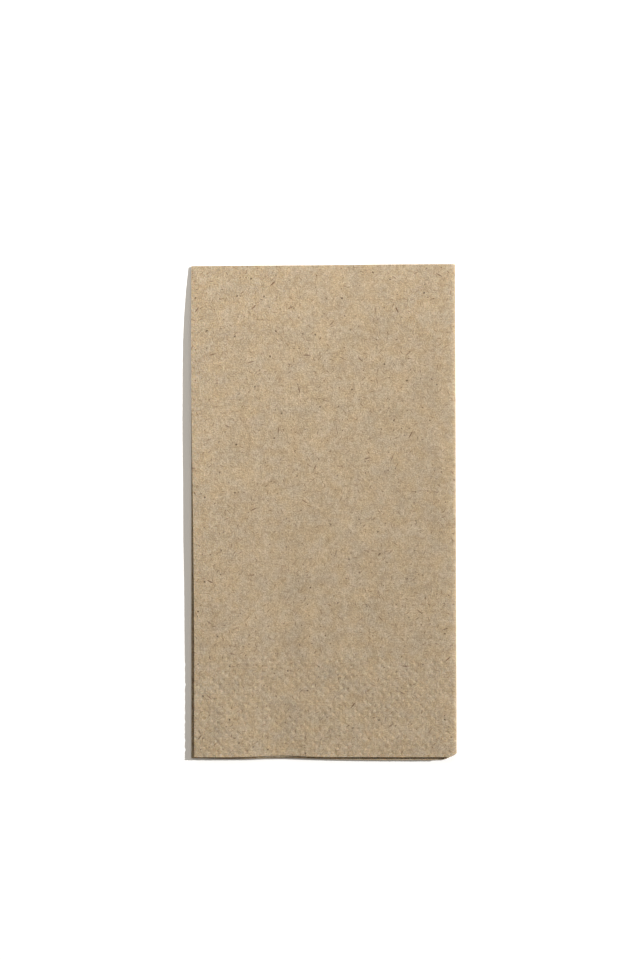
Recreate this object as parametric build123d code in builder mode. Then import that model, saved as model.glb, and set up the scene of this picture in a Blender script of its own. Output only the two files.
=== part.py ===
from build123d import *

import os

# A paper napkin: one sheet of two-ply kraft tissue, folded three times and lying flat.
# Millimetres, +Z up, the long side along Y and the origin under the middle.
#
# The sheet is first folded in half along its length, which makes it a doubled strip. That
# first fold is the +Y end, and the two cut ends lie together at the -Y end. The doubled
# strip is then folded in half sideways, twice. From the top down its four leaves are
#   the outer leaf    from its cut edge on the left to the outer right fold
#   the second leaf   from its cut edge on the left to the inner right fold
#   the third leaf    from the inner right fold to the left fold
#   the bottom leaf   from the left fold to the outer right fold
# It is one piece of paper throughout, so it is one solid.

os.makedirs("parts", exist_ok=True)

# Driving dimensions
folded_width = 102.6  # over the left fold and the outer right fold
folded_length = 192.5  # over the first fold and the lowest cut end
paper = 0.16  # the sheet, which is two plies pressed together
air = 0.24  # between one layer and the next
outer_gap_head = 0.1  # from the left fold in to the outer leaf's cut edge, at the +Y end
outer_gap_foot = 1.4  # the same at the -Y end, because the leaf lies a little askew
second_gap = 0.6  # from the left fold in to the second leaf's cut edge
outer_short = 1.3  # from the lowest cut end up to the outer leaf's
second_short = 1.0  # from the lowest cut end up to the second leaf's
lower_slant = 0.8  # the two lower leaves' cut ends rise by this much towards the left
corner_width = 4.7  # the foot of the right folds is drawn in by this much along X
corner_length = 2.8  # and by this much along Y
beyond = 1.0  # how far a trimming cut runs past the paper

# The leaves, each of which is the doubled strip, and the heights of their middles
leaf = 2 * paper + air
pitch = leaf + air
bottom_z = leaf / 2
third_z = bottom_z + pitch
second_z = third_z + pitch
outer_z = second_z + pitch
top_z = outer_z + leaf / 2

# The folds and the ends
left = -folded_width / 2
right = folded_width / 2
head = folded_length / 2
foot = -folded_length / 2
left_fold_radius = (third_z - bottom_z) / 2
inner_fold_radius = (second_z - third_z) / 2
outer_fold_radius = (outer_z - bottom_z) / 2
left_fold_x = left + leaf / 2 + left_fold_radius
right_fold_x = right - leaf / 2 - outer_fold_radius
first_fold_y = head - leaf / 2

with BuildPart() as napkin:
    # The middle line of the doubled strip, from the outer leaf to the second leaf
    with BuildLine(Plane.XZ) as folding:
        Line((left, outer_z), (right_fold_x, outer_z))
        RadiusArc((right_fold_x, outer_z), (right_fold_x, bottom_z), outer_fold_radius)
        Line((right_fold_x, bottom_z), (left_fold_x, bottom_z))
        RadiusArc((left_fold_x, bottom_z), (left_fold_x, third_z), left_fold_radius)
        Line((left_fold_x, third_z), (right_fold_x, third_z))
        RadiusArc((right_fold_x, third_z), (right_fold_x, second_z), -inner_fold_radius)
        Line((right_fold_x, second_z), (left + second_gap, second_z))

    # The doubled strip's section is a hairpin of paper: closed by the first fold, open at
    # the foot. The sketch's x runs along Y, and its y runs across the leaf.
    hairpin_plane = Plane(origin=(left, 0, outer_z), x_dir=(0, 1, 0), z_dir=(1, 0, 0))
    with BuildSketch(hairpin_plane):
        with BuildLine():
            Line((foot, leaf / 2), (first_fold_y, leaf / 2))
            RadiusArc((first_fold_y, leaf / 2), (first_fold_y, -leaf / 2), leaf / 2)
            Line((first_fold_y, -leaf / 2), (foot, -leaf / 2))
            Line((foot, -leaf / 2), (foot, -air / 2))
            Line((foot, -air / 2), (first_fold_y, -air / 2))
            RadiusArc((first_fold_y, -air / 2), (first_fold_y, air / 2), -air / 2)
            Line((first_fold_y, air / 2), (foot, air / 2))
            Line((foot, air / 2), (foot, leaf / 2))
        make_face()
    sweep(path=folding.wire())

    # The outer leaf's cut edge slants in from the left fold towards the foot.
    with BuildSketch(Plane.XY.offset(outer_z - pitch / 2)):
        with BuildLine():
            Polyline(
                (left - beyond, head),
                (left + outer_gap_head, head),
                (left + outer_gap_foot, foot),
                (left - beyond, foot),
                close=True,
            )
        make_face()
    extrude(amount=pitch, mode=Mode.SUBTRACT)

    # The feet of the two upper leaves stop short of the leaves below.
    for leaf_z, short in ((outer_z, outer_short), (second_z, second_short)):
        with BuildSketch(Plane.XY.offset(leaf_z - pitch / 2)):
            with Locations((0, foot)):
                Rectangle(folded_width + 2 * beyond, 2 * short)
        extrude(amount=pitch, mode=Mode.SUBTRACT)

    # The feet of the two lower leaves slant, because the last fold was made askew.
    with BuildSketch():
        with BuildLine():
            Polyline(
                (left, foot + lower_slant),
                (left, foot),
                (right - corner_width, foot),
                close=True,
            )
        make_face()
    extrude(amount=third_z + pitch / 2, mode=Mode.SUBTRACT)

    # The corner at the foot of the right folds is drawn in.
    with BuildSketch():
        with BuildLine():
            Polyline(
                (right, foot + corner_length),
                (right, foot),
                (right - corner_width, foot),
                close=True,
            )
        make_face()
    extrude(amount=top_z, mode=Mode.SUBTRACT)

napkin.part.label = "napkin"
export_step(napkin.part, "parts/napkin.step")

strip_width = folding.wire().length
print(f"flat sheet {strip_width:.1f} by {2 * folded_length:.1f} mm, {top_z:.2f} mm thick folded")
print(f"volume {napkin.part.volume:.0f} cubic millimetres, valid {napkin.part.is_valid}")
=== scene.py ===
# %% [markdown]
# # A folded kraft paper napkin
#
# The object is one square-cut sheet of two-ply brown tissue, folded three times and laid
# flat, with a border of small embossed dots along its cut end. This lesson cuts the sheet
# flat, folds it with a formula, presses the dots in, and gives it a fibrous kraft finish.
# The frame gives the size and place of everything, in metres.

import math

import bpy
import numpy as np
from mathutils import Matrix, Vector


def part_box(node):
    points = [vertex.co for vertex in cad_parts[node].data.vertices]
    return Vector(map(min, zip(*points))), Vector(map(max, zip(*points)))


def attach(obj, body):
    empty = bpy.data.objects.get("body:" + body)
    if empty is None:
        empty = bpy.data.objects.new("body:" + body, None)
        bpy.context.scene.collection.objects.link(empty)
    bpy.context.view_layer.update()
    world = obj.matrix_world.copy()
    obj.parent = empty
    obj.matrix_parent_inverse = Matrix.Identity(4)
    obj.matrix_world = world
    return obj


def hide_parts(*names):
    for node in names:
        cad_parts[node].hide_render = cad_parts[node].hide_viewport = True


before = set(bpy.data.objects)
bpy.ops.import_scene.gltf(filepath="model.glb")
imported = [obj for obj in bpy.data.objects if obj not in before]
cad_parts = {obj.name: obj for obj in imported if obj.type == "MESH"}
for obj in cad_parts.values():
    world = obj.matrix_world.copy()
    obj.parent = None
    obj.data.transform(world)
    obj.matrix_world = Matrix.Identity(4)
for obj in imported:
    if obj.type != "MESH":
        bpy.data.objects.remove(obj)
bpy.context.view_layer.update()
low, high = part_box("napkin")
MM = 0.001
print("the folded napkin measures", [round((b - a) / MM, 2) for a, b in zip(low, high)], "mm")

# %% [markdown]
# ## The folds
#
# The sheet is first folded in half along its length. That fold is the head, at +Y, and the
# two cut ends lie together at the foot. The doubled strip is then folded in half sideways,
# twice. From the top down its four leaves are the outer, second, third and bottom leaf, and
# each leaf is two layers. The sizes below are the ones that the solid was drawn with.

# %% Sizes of the layers and the folds
LEFT, FOOT = low[0], low[1]
RIGHT, HEAD = high[0], high[1]
WIDTH = RIGHT - LEFT
HALF_LENGTH = HEAD - FOOT
PAPER = 0.16 * MM
AIR = 0.24 * MM
LEAF = 2 * PAPER + AIR
PITCH = LEAF + AIR
BOTTOM_Z, THIRD_Z, SECOND_Z, OUTER_Z = (LEAF / 2 + PITCH * i for i in range(4))
SMALL_RADIUS = PITCH / 2
LARGE_RADIUS = (OUTER_Z - BOTTOM_Z) / 2
LEFT_FOLD_X = LEFT + LEAF / 2 + SMALL_RADIUS
RIGHT_FOLD_X = RIGHT - LEAF / 2 - LARGE_RADIUS
HALF_GAP = (AIR + PAPER) / 2
SECOND_GAP = 0.6 * MM
OUTER_WIDTH = RIGHT_FOLD_X - LEFT
print("the big fold's radius is", round(LARGE_RADIUS / MM, 2), "mm")

# %% The doubled strip's path, and where the sheet's grid lines cross it
DOT_STEP = 1.86 * MM
LEAF_CELLS = round(OUTER_WIDTH / DOT_STEP)
HIDDEN_CELLS = 14
OUTER_LEAF, OUTER_FOLD, BOTTOM_LEAF, LEFT_FOLD, THIRD_LEAF, INNER_FOLD, SECOND_LEAF = range(7)
# Each stretch has its length and its number of cells.
path = [
    (OUTER_WIDTH, LEAF_CELLS),
    (math.pi * LARGE_RADIUS, 10),
    (RIGHT_FOLD_X - LEFT_FOLD_X, LEAF_CELLS),
    (math.pi * SMALL_RADIUS, 6),
    (RIGHT_FOLD_X - LEFT_FOLD_X, HIDDEN_CELLS),
    (math.pi * SMALL_RADIUS, 6),
    (OUTER_WIDTH - SECOND_GAP, HIDDEN_CELLS),
]
starts = []
across = [0.0]
for length, cells in path:
    starts.append(across[-1])
    across += [across[-1] + length * (i + 1) / cells for i in range(cells)]

# %% [markdown]
# ## The flat sheet
#
# A real napkin starts as a flat sheet, and so does this one: a grid whose lines are close
# together where the paper bends and where it is embossed. The grid is added with the right
# number of cells, its lines are moved to their places, and the leaf that shows is then
# subdivided. The flat sheet's own coordinates become its UV map, in metres, so that fibres
# and specks follow the paper round every fold.

# %% Lines along the sheet, from the plain cut end to the embossed one
DOT_ROWS = 21
EDGE_STRIP = 0.14 * MM
TURN = math.pi * HALF_GAP / 2
TURN_CELLS, PLAIN_CELLS, BACK_CELLS = 3, 41, 25
PLAIN = HALF_LENGTH - TURN - DOT_ROWS * DOT_STEP - EDGE_STRIP
BORDER_START = TURN + PLAIN
turn_lines = [TURN * i / TURN_CELLS for i in range(1, TURN_CELLS + 1)]
front = turn_lines + [TURN + PLAIN * (i + 1) / PLAIN_CELLS for i in range(PLAIN_CELLS)]
front += [BORDER_START + DOT_STEP * (i + 1) for i in range(DOT_ROWS)] + [HALF_LENGTH]
back = turn_lines + [
    TURN + (HALF_LENGTH - TURN) * (i + 1) / BACK_CELLS for i in range(BACK_CELLS)
]
along = [-y for y in reversed(back)] + [0.0] + front
print("the plain part is", round(PLAIN / MM, 1), "mm long, with", len(along), "lines in all")


# %% Two helpers for the mesh
def select_none():
    """Operators act on everything that is selected, so each step starts from nothing."""
    if bpy.context.mode != "OBJECT":
        bpy.ops.object.mode_set(mode="OBJECT")
    bpy.ops.object.select_all(action="DESELECT")


def coordinates(mesh):
    """The places of a mesh's points, one row each."""
    found = np.empty(len(mesh.vertices) * 3)
    mesh.vertices.foreach_get("co", found)
    return found.reshape(-1, 3)


# %% Add the grid and move its lines to their places
select_none()
bpy.ops.mesh.primitive_grid_add(
    x_subdivisions=len(across) - 1, y_subdivisions=len(along) - 1, size=2
)
napkin = bpy.context.object
napkin.name = napkin.data.name = "folded_napkin"
grid = coordinates(napkin.data)
for axis, lines in enumerate((across, along)):
    index = np.rint((grid[:, axis] + 1) / 2 * (len(lines) - 1)).astype(int)
    grid[:, axis] = np.array(lines)[index]
napkin.data.vertices.foreach_set("co", grid.ravel())
print("the flat grid has", len(napkin.data.polygons), "faces")


# %% Finer cells on the leaf that shows, and finer still where it is embossed
def refine(in_reach):
    """Halves the cells whose middle is in reach, which is a test of its (across, along)."""
    select_none()
    bpy.context.view_layer.objects.active = napkin
    bpy.ops.object.mode_set(mode="EDIT")
    bpy.ops.mesh.select_mode(type="FACE")
    bpy.ops.mesh.select_all(action="DESELECT")
    bpy.ops.object.mode_set(mode="OBJECT")
    for face in napkin.data.polygons:
        face.select = in_reach(face.center[0], face.center[1])
    bpy.ops.object.mode_set(mode="EDIT")
    bpy.ops.mesh.subdivide(number_cuts=1)
    bpy.ops.object.mode_set(mode="OBJECT")
    print("refined to", len(napkin.data.polygons), "faces")


OUTER_END = starts[OUTER_FOLD]
BOTTOM_START, BOTTOM_END = starts[BOTTOM_LEAF], starts[LEFT_FOLD]
refine(
    lambda x, y: (x < OUTER_END and y > TURN)
    or (BOTTOM_START < x < BOTTOM_END and y > BORDER_START)
)
refine(lambda x, y: x < OUTER_END and y > BORDER_START)

# %% Keep the flat sheet as the UV map
flat = coordinates(napkin.data)
uv_map = napkin.data.uv_layers.active or napkin.data.uv_layers.new()
uv_map.name = "flat_sheet"
corner_vertex = np.empty(len(napkin.data.loops), int)
napkin.data.loops.foreach_get("vertex_index", corner_vertex)
uv_map.data.foreach_set("uv", flat[corner_vertex, :2].ravel())
print("the UV map covers", [round(float(side) / MM, 1) for side in np.ptp(flat, axis=0)[:2]], "mm")

# %% [markdown]
# ## Folding by formula
#
# Folding a thin sheet by hand-placed rotations piles up errors, and a cloth simulation
# needs far finer cells to hold a crease this tight. A formula gives each point of the flat
# sheet its place on the doubled strip's path: straight leaves joined by half circles.

# %% Where the path runs
DOWN, UP = -math.pi / 2, math.pi / 2
MIDDLE_Z = (OUTER_Z + BOTTOM_Z) / 2
# A leaf has where it starts, its height, and its way along X.
leaves = {
    OUTER_LEAF: (LEFT, OUTER_Z, 1),
    BOTTOM_LEAF: (RIGHT_FOLD_X, BOTTOM_Z, -1),
    THIRD_LEAF: (LEFT_FOLD_X, THIRD_Z, 1),
    SECOND_LEAF: (RIGHT_FOLD_X, SECOND_Z, -1),
}
# A fold has its radius, its centre in X and Z, the angle it starts at, and its turning way.
folds = {
    OUTER_FOLD: (LARGE_RADIUS, RIGHT_FOLD_X, MIDDLE_Z, UP, -1),
    LEFT_FOLD: (SMALL_RADIUS, LEFT_FOLD_X, (BOTTOM_Z + THIRD_Z) / 2, DOWN, -1),
    INNER_FOLD: (SMALL_RADIUS, RIGHT_FOLD_X, MIDDLE_Z, DOWN, 1),
}
print(len(leaves), "leaves and", len(folds), "sideways folds")


# %% Where a point of the strip lies once it is folded
def follow_path(s):
    """x, z, the left-hand normal and the stretch of the path, for distances s along it."""
    x, z, normal_x, normal_z = (np.zeros_like(s) for _ in range(4))
    stretch = np.clip(np.searchsorted(starts, s, side="right") - 1, OUTER_LEAF, SECOND_LEAF)
    distance = s - np.array(starts)[stretch]
    for leaf, (start_x, height, way) in leaves.items():
        here = stretch == leaf
        x[here], z[here] = start_x + way * distance[here], height
        normal_z[here] = way
    for fold, (radius, centre_x, centre_z, start, turn) in folds.items():
        here = stretch == fold
        angle = start + turn * distance[here] / radius
        out_x, out_z = np.cos(angle), np.sin(angle)
        x[here], z[here] = centre_x + radius * out_x, centre_z + radius * out_z
        normal_x[here], normal_z[here] = -turn * out_x, -turn * out_z
    return x, z, normal_x, normal_z, stretch


# %% Follow the path, with the sheet's two halves either side of it
s, v = flat[:, 0], flat[:, 1]
x, z, normal_x, normal_z, stretch = follow_path(s)
on_outer_leaf = stretch == OUTER_LEAF
outside = v > 0
turned = np.minimum(np.abs(v) / HALF_GAP, math.pi / 2)
offset = np.where(outside, 1.0, -1.0) * HALF_GAP * np.sin(turned)
x = x + normal_x * offset
z = z + normal_z * offset
print("the folded pile is", round(float(np.ptp(z)) / MM, 2), "mm high without its paper")

# %% The big fold was pressed, so it is squarer than a half circle
SQUARENESS = 0.4
fold_radius = LARGE_RADIUS + offset
bulge = (x - RIGHT_FOLD_X) / fold_radius
squarer = np.where(bulge > 0, np.abs(bulge) ** SQUARENESS, bulge)
x = np.where(stretch == OUTER_FOLD, RIGHT_FOLD_X + squarer * fold_radius, x)
print("the big fold reaches x =", round(float(x.max()) / MM, 2), "mm")

# %% [markdown]
# ## How the pile lies
#
# Eight layers of soft tissue never lie quite flat, and no two cut ends meet exactly. The
# pile is pressed thin at the head and most of all at its left corner, it is fullest along
# the loose left edges, and near the foot a shallow valley runs up from the cut end. All
# layers share one fullness, from 0 to 1, which keeps them in order. In a few small places,
# most of them near the thin head, two layers still overlap by less than a tenth of a
# millimetre.


# %% Small shaping functions
def smooth_step(start, end, value):
    """0 before the start, 1 after the end, and a smooth rise between them."""
    t = np.clip((value - start) / (end - start), 0, 1)
    return t * t * (3 - 2 * t)


def fade(distance, reach):
    """1 at a distance of 0, falling away over the reach."""
    return np.exp(-distance / reach)


def hump(distance, reach):
    """A round hump, 1 at a distance of 0."""
    return np.exp(-((distance / reach) ** 2))


def soft_max(a, b, blend):
    """The larger of two values, with the corner between them rounded."""
    return (a + b + np.sqrt((a - b) ** 2 + blend**2)) / 2


# %% Fullness of the pile
HEAD_DROP, HEAD_REACH = (0.72, 0.35), (20 * MM, 11 * MM)
VALLEY_PLACE, VALLEY_LEAN, VALLEY_WIDTH, VALLEY_LENGTH = 0.315, 0.03, 9.5 * MM, 30 * MM
VALLEY_DROP, RIGHT_DROP, FOOT_DROP, OVERALL_DROP = 0.27, 0.16, 0.03, 0.03


def fullness(x, y):
    """How full the pile is at each place. Paired values are for the left end and the middle."""
    towards_middle = smooth_step(0.0, 0.5, (x - LEFT) / WIDTH)
    from_head, from_foot, from_right = HEAD - y, y - FOOT, RIGHT - x
    drop = HEAD_DROP[0] - (HEAD_DROP[0] - HEAD_DROP[1]) * towards_middle
    reach = HEAD_REACH[0] - (HEAD_REACH[0] - HEAD_REACH[1]) * towards_middle
    lean = VALLEY_LEAN * smooth_step(0, 60 * MM, from_foot)
    from_valley = x - LEFT - (VALLEY_PLACE + lean) * WIDTH
    full = 1 - drop * fade(from_head, reach) - OVERALL_DROP
    full -= VALLEY_DROP * hump(from_valley, VALLEY_WIDTH) * fade(from_foot, VALLEY_LENGTH)
    full -= RIGHT_DROP * fade(from_right, 3.2 * MM) + FOOT_DROP * fade(from_foot, 14 * MM)
    waves = (
        0.020 * np.sin(x / (9 * MM) + 1.1 + y / (31 * MM))
        + 0.016 * np.sin(y / (14 * MM) + 0.4 - x / (23 * MM))
        + 0.010 * np.sin(x / (4.1 * MM) - y / (6.3 * MM))
    )
    return full + waves * smooth_step(0, 12 * MM, from_right)


# %% How far each leaf stops short of the foot
OUTER_SHORT, SECOND_SHORT, FOLD_SHORT, LOWER_SLANT = 1.4 * MM, 1.0 * MM, 1.3 * MM, 0.8 * MM
LIFT_PLACE, LIFT = 0.345, 0.58 * MM
rank = np.clip((z - BOTTOM_Z) / (OUTER_Z - BOTTOM_Z), 0, 1)
from_left = np.clip((x - LEFT) / WIDTH, 0, 1)
lower_short = LOWER_SLANT * (1 - from_left) - 0.1 * MM * np.sin(11 * from_left)
on_lower = np.isin(stretch, (BOTTOM_LEAF, LEFT_FOLD, THIRD_LEAF))
short = np.select(
    [on_outer_leaf, stretch == SECOND_LEAF, on_lower],
    [OUTER_SHORT, SECOND_SHORT, lower_short],
    FOLD_SHORT * rank,
)
lift = LIFT * hump(from_left - LIFT_PLACE, 0.10)
ripple = 0.05 * MM * np.sin(17 * from_left + 3 * rank)
short = short + np.where(on_outer_leaf, lift, lift / 2) + ripple * (1 - from_left)
short = short - np.where(on_outer_leaf & ~outside, 0.08 * MM, 0)
print("the outer leaf stops short by up to", round(float(short[on_outer_leaf].max()) / MM, 2), "mm")

# %% Lay each layer from the head to its own cut end
CORNER_WIDTH, CORNER_LENGTH = 4.7 * MM, 2.8 * MM
run = np.clip((np.abs(v) - TURN) / (HALF_LENGTH - TURN), 0, 1)
to_cut = (1 - run) * HALF_LENGTH
# The first fold lies a little askew, and it waves very slightly.
wave = 0.05 * MM * np.sin(9 * (x - LEFT) / WIDTH + 0.6)
head_edge = HEAD + 0.20 * MM - 0.78 * MM * (1 - (x - LEFT) / WIDTH) + wave
start_y = head_edge - HALF_GAP - PAPER / 2
end_y = FOOT + np.maximum(short, 0)
y = start_y - run * (start_y - end_y) + HALF_GAP * np.cos(turned)
corner = CORNER_LENGTH * (x - (RIGHT - CORNER_WIDTH)) / CORNER_WIDTH
y = y + (soft_max(short, corner, 0.25 * MM) - short) * fade(to_cut, 4 * MM)
print("the layers run from y =", round(float(y.min()) / MM, 2), "to", round(float(y.max()) / MM, 2))

# %% The outer leaf's cut edge swings away from the left fold towards the foot
OUTER_GAP = 1.2 * MM
HEAD_IN, FOOT_OUT = 0.6 * MM, 0.5 * MM
from_head = (HEAD - y) / HALF_LENGTH
from_fold = (RIGHT_FOLD_X - x) / OUTER_WIDTH
gap = OUTER_GAP * smooth_step(0.12, 0.78, from_head)
x = x + np.where(on_outer_leaf, gap * from_fold, 0)
bow = 0.15 * MM * np.sin(14 * from_head) * from_fold
x = x + np.where(stretch == SECOND_LEAF, bow, 0)
# The right side is a little narrower at the head than at the foot.
x = x + (FOOT_OUT - HEAD_IN * (1 - from_head)) * (x - LEFT) / WIDTH
print("the pile is", round(float(np.ptp(x)) / MM, 2), "mm wide")

# %% [markdown]
# ## The embossed border
#
# Steel pins press the border into the tissue, which also holds its two plies together. The
# pits sit on a diamond lattice: rows 1.86 mm apart, with every second pit shifted by half a
# step. The sheet's finer cells were placed so that each pit has a point near its centre.
# The tissue springs back unevenly, so the pits differ in depth and stray a little.

# %% The nearest pin to each point of the sheet
STRAY = 0.44
bottom_cell = (BOTTOM_END - BOTTOM_START) / LEAF_CELLS
cell = np.where(on_outer_leaf, s / across[1], (s - BOTTOM_START) / bottom_cell)
line = (HALF_LENGTH - EDGE_STRIP - v) / DOT_STEP
pin_cell, pin_line = np.rint(cell), np.rint(line)
chance = np.random.default_rng(5).random((3, 2, LEAF_CELLS + 2, DOT_ROWS + 2))
pin = (
    (stretch == BOTTOM_LEAF).astype(int),
    np.clip(pin_cell, 0, LEAF_CELLS).astype(int),
    np.clip(pin_line, 0, DOT_ROWS + 1).astype(int),
)
stray_across, stray_along, spring_back = (values[pin] for values in chance)
from_pin = DOT_STEP * np.hypot(
    cell - pin_cell + STRAY * (stray_across - 0.5),
    line - pin_line + STRAY * (stray_along - 0.5),
)
print("there are up to", (LEAF_CELLS + 1) * (DOT_ROWS + 1) // 2, "pins over each leaf")

# %% How deep each point is pressed
PIT_RADIUS, PIT_DEPTH, SPRING_BACK = 0.72 * MM, 0.32 * MM, 0.75
MAKE_ROOM, ROOM_LEAD = 0.12 * MM, 6 * MM
has_pin = (pin_cell + pin_line) % 2 == 0
outer_or_bottom = on_outer_leaf | (stretch == BOTTOM_LEAF)
pressed = has_pin & outside & (pin_line <= DOT_ROWS) & outer_or_bottom
pit = np.clip(1 - (from_pin / PIT_RADIUS) ** 2, 0, 1)
depth = np.where(pressed, PIT_DEPTH * (1 - SPRING_BACK * spring_back) * pit, 0)
print("the deepest pit is", round(float(depth.max()) / MM, 2), "mm")
# The layer behind an embossed one moves back, to leave room for the pits.
in_border = smooth_step(BORDER_START - ROOM_LEAD, BORDER_START, np.abs(v))
depth = depth + np.where(~outside & outer_or_bottom, MAKE_ROOM * in_border, 0)

# %% Set the heights
CURL, CURL_REACH = 0.14 * MM, 0.9 * MM
lowest = PAPER / 2
z = lowest + (z - normal_z * depth - lowest) * fullness(x, y)
# The outermost cut end curls up a little.
z = z + np.where(on_outer_leaf & outside, CURL * fade(to_cut, CURL_REACH), 0)
z = np.maximum(z, lowest)
napkin.data.vertices.foreach_set("co", np.column_stack([x, y, z]).ravel())
napkin.data.update()
print("the pile is", round(float(np.ptp(z)) / MM, 2), "mm high without its paper")

# %% Give the paper its thickness
CREASE_ANGLE = math.radians(50)
select_none()
napkin.select_set(True)
bpy.context.view_layer.objects.active = napkin
bpy.ops.object.modifier_add(type="SOLIDIFY")
solidify = napkin.modifiers[-1]
solidify.thickness = PAPER
solidify.offset = 0
bpy.ops.object.modifier_apply(modifier=solidify.name)
bpy.ops.object.shade_smooth_by_angle(angle=CREASE_ANGLE)
napkin.data.calc_loop_triangles()
print("the napkin has", len(napkin.data.loop_triangles), "triangles")

# %% [markdown]
# ## Kraft tissue
#
# Unbleached recycled tissue is a felt of tan fibres with darker bark specks, a few dark and
# pale fibres, and cloudy patches a few millimetres across. It is matt, with a faint sheen
# from its loose fibre ends, and thin enough to glow a little where light grazes an edge.
# Every pattern reads the sheet's own UV map, in millimetres.


# %% Colour and node helpers
def linear(code):
    """An sRGB hex colour as linear RGBA."""
    parts = [int(code[i : i + 2], 16) / 255 for i in (1, 3, 5)]
    return [c / 12.92 if c <= 0.04045 else ((c + 0.055) / 1.055) ** 2.4 for c in parts] + [1]


def add_node(tree, kind, settings=None, inputs=None):
    """Adds a node, sets its properties, and sets or links its inputs."""
    node = tree.nodes.new("ShaderNode" + kind)
    for key, value in (settings or {}).items():
        setattr(node, key, value)
    for key, value in (inputs or {}).items():
        if isinstance(value, bpy.types.NodeSocket):
            tree.links.new(value, node.inputs[key])
        else:
            node.inputs[key].default_value = value
    return node


# %% Start the material, with the flat sheet in millimetres
kraft = bpy.data.materials.new("unbleached kraft tissue")
kraft.use_nodes = True
tree = kraft.node_tree
shader = tree.nodes["Principled BSDF"]
uv = add_node(tree, "UVMap", {"uv_map": "flat_sheet"})
sheet_mm = add_node(
    tree, "VectorMath", {"operation": "SCALE"}, {0: uv.outputs[0], "Scale": 1 / MM}
).outputs[0]
print("started the material", kraft.name)


# %% Shared steps of the pattern
def noise(size, detail, roughness):
    """Cloudy noise whose patches are about one size in millimetres."""
    return add_node(
        tree,
        "TexNoise",
        {"noise_dimensions": "2D"},
        {"Vector": sheet_mm, "Scale": 1 / size, "Detail": detail, "Roughness": roughness},
    ).outputs[0]


def times(a, b):
    """The product of two values."""
    return add_node(tree, "Math", {"operation": "MULTIPLY"}, {0: a, 1: b}).outputs[0]


def blend(factor, first, second):
    """Two colours mixed; a Mix node's colours are its inputs 6 and 7, and output 2."""
    inputs = {"Factor": factor, 6: first, 7: second}
    return add_node(tree, "Mix", {"data_type": "RGBA"}, inputs).outputs[2]


# %% Pulp colour: patches a little redder or greyer, 6 mm across
clouds = noise(6.0, 3, 0.6)
tone = add_node(tree, "MapRange", inputs={"Value": clouds, "From Min": 0.35, "From Max": 0.65})
colour = blend(tone.outputs[0], linear("#B5A082"), linear("#B09F87"))
print("two pulp colours blended")

# %% Thin and thick places in the felt, from the fine forming wire up to the pulp's clumps
for size, contrast in ((0.45, 0.16), (1.1, 0.11), (3.0, 0.08), (11.0, 0.05)):
    value = add_node(
        tree,
        "MapRange",
        inputs={
            "Value": noise(size, 2, 0.6),
            "From Min": 0.3,
            "From Max": 0.7,
            "To Min": 1 - contrast,
            "To Max": 1 + contrast,
        },
    )
    colour = add_node(
        tree, "VectorMath", {"operation": "SCALE"}, {0: colour, "Scale": value.outputs[0]}
    ).outputs[0]
    print("clumps of", size, "mm change the brightness by", contrast)


# %% One layer of short fibres
def fibres(spacing, length, width, share):
    """A mask of short straight fibres: one to a cell at a random angle, in a share of cells."""
    cells = add_node(
        tree,
        "TexVoronoi",
        {"voronoi_dimensions": "2D"},
        {"Vector": sheet_mm, "Scale": 1 / spacing},
    )
    # A Voronoi cell's Position is its centre, in the same millimetres as the sheet.
    middle = {0: sheet_mm, 1: cells.outputs["Position"]}
    local = add_node(tree, "VectorMath", {"operation": "SUBTRACT"}, middle)
    chance = add_node(tree, "SeparateColor", inputs={0: cells.outputs["Color"]}).outputs
    turned_to = add_node(
        tree,
        "VectorRotate",
        {"rotation_type": "Z_AXIS"},
        {"Vector": local.outputs[0], "Angle": times(chance[0], 2 * math.pi)},
    )
    squeeze = {0: turned_to.outputs[0], 1: (2 / length, 2 / width, 0)}
    squeezed = add_node(tree, "VectorMath", {"operation": "MULTIPLY"}, squeeze)
    reach = add_node(tree, "VectorMath", {"operation": "LENGTH"}, {0: squeezed.outputs[0]})
    body = add_node(
        tree,
        "MapRange",
        {"interpolation_type": "SMOOTHSTEP"},
        {"Value": reach.outputs["Value"], "From Min": 1.2, "From Max": 0.5},
    )
    present = add_node(tree, "Math", {"operation": "LESS_THAN"}, {0: chance[1], 1: share})
    darkness = add_node(
        tree, "MapRange", inputs={"Value": chance[2], "To Min": 0.35, "To Max": 1.0}
    )
    return times(times(body.outputs[0], present.outputs[0]), darkness.outputs[0])


# %% Fibres and specks, from the common to the rare
# Colour, spacing, length and width in millimetres, share of cells, and strength.
fibre_layers = [
    ("#86704F", 0.9, 1.5, 0.30, 0.6, 0.55),
    ("#D6C8A9", 1.1, 1.9, 0.30, 0.5, 0.45),
    ("#6A4E32", 2.6, 2.0, 0.32, 0.4, 0.75),
    ("#573C24", 4.0, 0.7, 0.50, 0.4, 0.85),
    ("#5C3A22", 15.0, 3.0, 0.55, 0.6, 0.80),
    ("#3E2814", 11.0, 0.9, 0.70, 0.6, 0.90),
]
for code, spacing, length, width, share, strength in fibre_layers:
    mask = times(fibres(spacing, length, width, share), strength)
    colour = blend(mask, colour, linear(code))
    print("fibres of", length, "by", width, "mm, one to", spacing, "mm")
tree.links.new(colour, shader.inputs["Base Color"])

# %% Loose fibre ends, as a bump of 0.16 mm
fuzz = noise(0.7, 3, 0.7)
bump = add_node(
    tree, "Bump", inputs={"Strength": 1.0, "Distance": 0.16 * MM, "Height": fuzz}
)
tree.links.new(bump.outputs[0], shader.inputs["Normal"])
print("fuzz bump linked")

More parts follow.
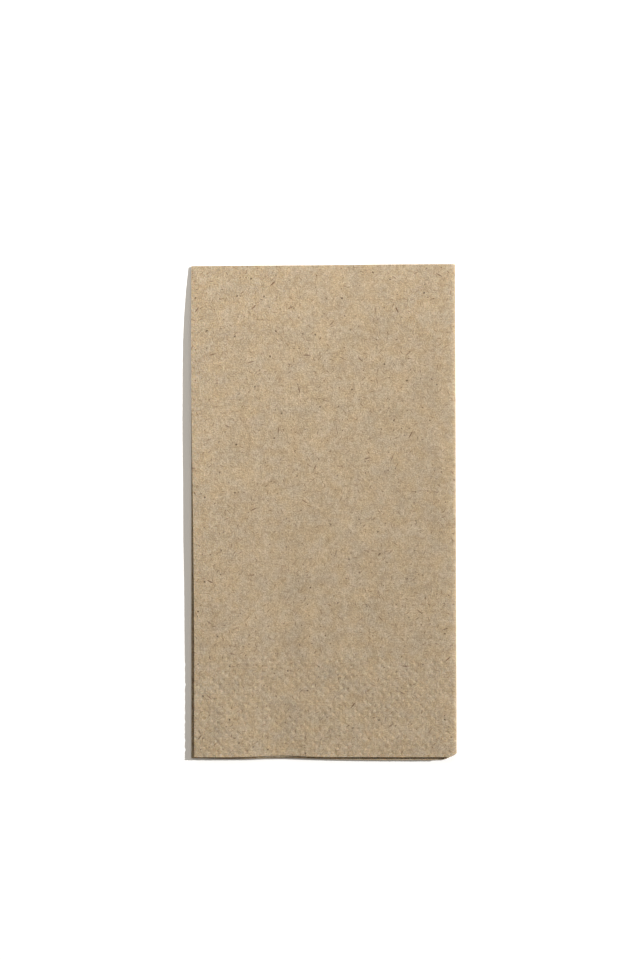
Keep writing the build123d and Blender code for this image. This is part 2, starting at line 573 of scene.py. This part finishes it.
# %% Matt, slightly see-through paper
shader.inputs["Subsurface Weight"].default_value = 0.35
shader.inputs["Subsurface Radius"].default_value = (1.0, 0.6, 0.3)
shader.inputs["Subsurface Scale"].default_value = 0.4 * MM
shader.inputs["Roughness"].default_value = 0.92
shader.inputs["Specular IOR Level"].default_value = 0.25
shader.inputs["Sheen Weight"].default_value = 0.08
shader.inputs["Sheen Roughness"].default_value = 0.6
napkin.data.materials.clear()
napkin.data.materials.append(kraft)
print("the material has", len(tree.nodes), "nodes")

# %% Tell the frame what the piece is
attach(napkin, "root")
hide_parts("napkin")

# %% [markdown]
# ## Floor, lamps and camera
#
# The napkin lies on a white table. A low key light on the right draws the crisp shadow
# along the left edges, and an accent from the same side makes the head a little brighter.
# A soft lamp beyond the head and the world lift the shadow. The floor also glows faintly,
# but only where it is seen directly or in a mirror, so that it is full white outside the
# shadow and its glow doesn't light the napkin.


# %% What the camera sees directly, in a mirror or through glass
def seen_directly(tree):
    """1 for camera, glossy and transmission rays, and 0 for the rays that carry light."""
    rays = add_node(tree, "LightPath").outputs
    seen = rays["Is Camera Ray"]
    for other in ("Is Glossy Ray", "Is Transmission Ray"):
        either = add_node(tree, "Math", {"operation": "MAXIMUM"}, {0: seen, 1: rays[other]})
        seen = either.outputs[0]
    return seen


# %% Floor
WARM_WHITE = linear("#FFF7EA")
FLOOR_GLOW = 0.16
select_none()
bpy.ops.mesh.primitive_plane_add(size=6, location=(0, 0, -0.02 * MM))
floor = bpy.context.object
floor.name = "white_table"
white = bpy.data.materials.new("white laminate table")
white.use_nodes = True
tree = white.node_tree
tree.nodes.clear()
glow = add_node(
    tree, "Math", {"operation": "MULTIPLY"}, {0: seen_directly(tree), 1: FLOOR_GLOW}
)
diffuse = add_node(tree, "BsdfDiffuse", inputs={"Color": (1, 1, 1, 1)})
emission = add_node(
    tree, "Emission", inputs={"Color": WARM_WHITE, "Strength": glow.outputs[0]}
)
both = add_node(tree, "AddShader", inputs={0: diffuse.outputs[0], 1: emission.outputs[0]})
add_node(tree, "OutputMaterial", inputs={0: both.outputs[0]})
floor.data.materials.append(white)
print("the floor glows by", FLOOR_GLOW)

# %% World: dim for the napkin, full white as a backdrop
world = bpy.data.worlds.new("studio")
bpy.context.scene.world = world
world.use_nodes = True
tree = world.node_tree
tree.nodes.clear()
fill = add_node(tree, "Background", inputs={"Color": linear("#FFFBF6"), "Strength": 0.10})
backdrop = add_node(tree, "Background", inputs={"Color": (1, 1, 1, 1), "Strength": 1.0})
sky = add_node(
    tree,
    "MixShader",
    inputs={0: seen_directly(tree), 1: fill.outputs[0], 2: backdrop.outputs[0]},
)
add_node(tree, "OutputWorld", inputs={0: sky.outputs[0]})
print("the world is set")


# %% Placing and aiming a lamp
def lamp(name, kind, azimuth, elevation, distance, energy, target):
    """A lamp at an azimuth from +X towards +Y and an elevation, aimed at a target."""
    select_none()
    a, e = math.radians(azimuth), math.radians(elevation)
    place = distance * np.array(
        [math.cos(e) * math.cos(a), math.cos(e) * math.sin(a), math.sin(e)]
    )
    bpy.ops.object.light_add(type=kind, location=place)
    light = bpy.context.object
    light.name = name
    light.data.energy = energy
    way_x, way_y, way_z = np.array(target) - place
    tilt = math.atan2(math.hypot(way_x, way_y), -way_z)
    light.rotation_euler = (tilt, 0, math.atan2(way_y, way_x) - math.pi / 2)
    print("placed", name, "with energy", round(energy, 2))
    return light


# %% Lamps
# A lamp's WHITE is the energy with which it alone lights a matt white floor to full white.
AZIMUTH, ELEVATION, DISTANCE = 21, 35, 4.0
SUN_WHITE = math.pi / math.sin(math.radians(ELEVATION))
SPOT_WHITE = SUN_WHITE * 4 * math.pi * DISTANCE**2
LAMP_ANGLE = 2.5
key = lamp("key", "SUN", AZIMUTH, ELEVATION, DISTANCE, 0.74 * SUN_WHITE, (0, 0, 0))
key.data.angle = math.radians(LAMP_ANGLE)
accent = lamp(
    "accent", "SPOT", AZIMUTH, ELEVATION, DISTANCE, 0.34 * SPOT_WHITE, (-0.20, 0.15, 0)
)
accent.data.spot_size = math.radians(7.4)
accent.data.spot_blend = 1.0
accent.data.shadow_soft_size = DISTANCE * math.tan(math.radians(LAMP_ANGLE / 2))
soft = lamp("soft", "AREA", 90, 42, 0.9, 2.4, (0, 0.05, 0))
soft.data.color = WARM_WHITE[:3]
soft.data.shape = "RECTANGLE"
soft.data.size = 0.7
soft.data.size_y = 0.4

# %% Camera, straight above
LENS, SENSOR = 100, 36
VIEW_LENGTH = 372.096 * MM
VIEW_CENTRE = (-1.3 * MM, 12.6 * MM)
height = VIEW_LENGTH * LENS / SENSOR
select_none()
bpy.ops.object.camera_add(location=(*VIEW_CENTRE, height + high[2]), rotation=(0, 0, 0))
camera = bpy.context.object
camera.data.lens = LENS
camera.data.sensor_width = SENSOR
bpy.context.scene.camera = camera
bpy.context.scene.view_settings.view_transform = "Standard"
print("the camera is", round(height, 3), "m above the napkin")
